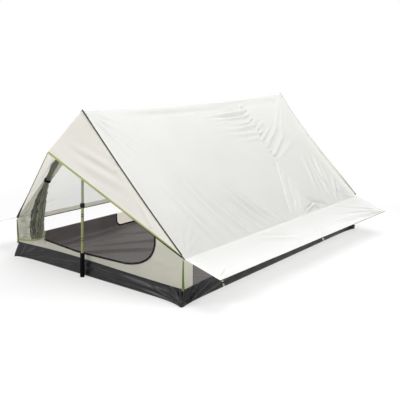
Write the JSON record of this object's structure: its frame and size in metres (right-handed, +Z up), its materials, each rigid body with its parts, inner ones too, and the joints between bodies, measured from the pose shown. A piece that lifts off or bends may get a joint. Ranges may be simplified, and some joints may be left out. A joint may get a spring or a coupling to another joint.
{
  "type": "camping tent",
  "caption": "A-frame camping tent on walking poles: sloping roof, side skirts, beaks, mesh walls, bathtub floor, rolled front door and zipped side door.",
  "frame": {"origin": "centre of the floor's underside, on the ground", "axes": "+Y from the front door towards the rear, +X towards the side away from the side door, +Z up"},
  "size_m": [2.0918, 2.89, 1.108],
  "materials": {
    "canopy_fabric": "matt coated polyester",
    "wall_fabric": "matt light polyester",
    "floor_fabric": "coated dark polyester, slight sheen",
    "mesh_fabric": "fine insect mesh",
    "seam_tape": "dark piping",
    "beak_binding": "green binding tape",
    "strap_webbing": "green webbing",
    "black_webbing": "black webbing",
    "zip_tape": "black zip tape",
    "zip_metal": "dark painted metal",
    "guy_cord": "braided cord",
    "black_plastic": "moulded black plastic",
    "grip_foam": "moulded foam rubber",
    "handle_alloy": "olive anodised",
    "shaft_alloy": "grey-green anodised",
    "grommet_brass": "nickel-plated eyelet"
  },
  "bodies": {
    "tent": {"apex_grommet_front": "grommet_brass", "apex_grommet_rear": "grommet_brass", "apex_webbing_front": "black_webbing", "apex_webbing_rear": "black_webbing", "bathtub_floor": "floor_fabric", "corner_strap_front_left": "strap_webbing", "corner_strap_front_right": "strap_webbing", "corner_strap_rear_left": "strap_webbing", "corner_strap_rear_right": "strap_webbing", "door_flap": "wall_fabric", "door_tie_band": "black_webbing", "door_tie_toggle": "black_plastic", "front_beak_binding": "beak_binding", "front_beak_left": "canopy_fabric", "front_beak_right": "canopy_fabric", "front_door_zip": "zip_tape", "front_pole_tip_tube": "shaft_alloy", "front_seam_piping": "seam_tape", "front_wall": "wall_fabric", "mesh_wall_left": "mesh_fabric", "mesh_wall_right": "mesh_fabric", "rear_beak_binding": "beak_binding", "rear_beak_left": "canopy_fabric", "rear_beak_right": "canopy_fabric", "rear_pole_tip_tube": "shaft_alloy", "rear_seam_piping": "seam_tape", "rear_wall": "wall_fabric", "roof_panel_left": "canopy_fabric", "roof_panel_right": "canopy_fabric", "side_door_panel": "wall_fabric", "side_door_zip": "zip_tape", "stake_tab_front_left": "black_webbing", "stake_tab_front_right": "black_webbing", "stake_tab_rear_left": "black_webbing", "stake_tab_rear_right": "black_webbing"},
    "skirt_right": {"side_skirt_right": "canopy_fabric", "guy_loop_front_right": "guy_cord", "guy_loop_middle_right": "guy_cord", "cord_lock_right": "black_plastic"},
    "skirt_left": {"side_skirt_left": "canopy_fabric", "guy_loop_front_left": "guy_cord", "guy_loop_middle_left": "guy_cord", "cord_lock_left": "black_plastic"},
    "front_pole_middle": {"front_pole_middle_tube": "shaft_alloy", "front_pole_upper_clamp": "black_plastic"},
    "front_pole_handle": {"front_pole_grip": "grip_foam", "front_pole_handle_tube": "handle_alloy", "front_pole_lower_clamp": "black_plastic"},
    "front_upper_lever": {"front_pole_upper_clamp_lever": "black_plastic"},
    "front_lower_lever": {"front_pole_lower_clamp_lever": "black_plastic"},
    "rear_pole_middle": {"rear_pole_middle_tube": "shaft_alloy", "rear_pole_upper_clamp": "black_plastic"},
    "rear_pole_handle": {"rear_pole_grip": "grip_foam", "rear_pole_handle_tube": "handle_alloy", "rear_pole_lower_clamp": "black_plastic"},
    "rear_upper_lever": {"rear_pole_upper_clamp_lever": "black_plastic"},
    "rear_lower_lever": {"rear_pole_lower_clamp_lever": "black_plastic"},
    "front_slider": {"front_zip_slider": "zip_metal"},
    "front_pull": {"front_zip_pull": "zip_metal"},
    "side_slider": {"side_zip_slider": "zip_metal"}
  },
  "joints": [
    {"name": "skirt_fold_right", "type": "hinge", "parent": "tent", "child": "skirt_right", "pos_m": [0.768, 0, 0.273], "axis": [0, -1, 0], "range_deg": [-45, 25]},
    {"name": "skirt_fold_left", "type": "hinge", "parent": "tent", "child": "skirt_left", "pos_m": [-0.768, 0, 0.273], "axis": [0, 1, 0], "range_deg": [-45, 25]},
    {"name": "front_pole_middle_slide", "type": "slide", "parent": "tent", "child": "front_pole_middle", "axis": [0.0515, -0.0029, 0.9987], "range_m": [0, 0.18]},
    {"name": "front_pole_handle_slide", "type": "slide", "parent": "front_pole_middle", "child": "front_pole_handle", "axis": [0.0515, -0.0029, 0.9987], "range_m": [0, 0.28]},
    {"name": "front_upper_lever_hinge", "type": "hinge", "parent": "front_pole_middle", "child": "front_upper_lever", "pos_m": [-0.01877, -1.16624, 0.797], "axis": [-0.0515, 0.0029, -0.9987], "range_deg": [0, 120]},
    {"name": "front_lower_lever_hinge", "type": "hinge", "parent": "front_pole_handle", "child": "front_lower_lever", "pos_m": [-0.03569, -1.16622, 0.47745], "axis": [-0.0515, 0.0029, -0.9987], "range_deg": [0, 120]},
    {"name": "rear_pole_middle_slide", "type": "slide", "parent": "tent", "child": "rear_pole_middle", "axis": [0, -0.0083, 1], "range_m": [0, 0.18]},
    {"name": "rear_pole_handle_slide", "type": "slide", "parent": "rear_pole_middle", "child": "rear_pole_handle", "axis": [0, -0.0083, 1], "range_m": [0, 0.28]},
    {"name": "rear_upper_lever_hinge", "type": "hinge", "parent": "rear_pole_middle", "child": "rear_upper_lever", "pos_m": [0.00583, 1.18033, 0.79787], "axis": [0, 0.0083, -1], "range_deg": [0, 120]},
    {"name": "rear_lower_lever_hinge", "type": "hinge", "parent": "rear_pole_handle", "child": "rear_lower_lever", "pos_m": [0.00627, 1.18389, 0.47789], "axis": [0, 0.0083, -1], "range_deg": [0, 120]},
    {"name": "front_zip_slide", "type": "slide", "parent": "tent", "child": "front_slider", "axis": [0.998, 0, -0.0627], "range_m": [0, 0.3]},
    {"name": "front_pull_swing", "type": "hinge", "parent": "front_slider", "child": "front_pull", "pos_m": [-0.45274, -1.1269, 0.17021], "axis": [-1, 0, 0], "range_deg": [0, 150]},
    {"name": "side_zip_slide", "type": "slide", "parent": "tent", "child": "side_slider", "axis": [0, 1, 0], "range_m": [0, 0.59]}
  ]
}
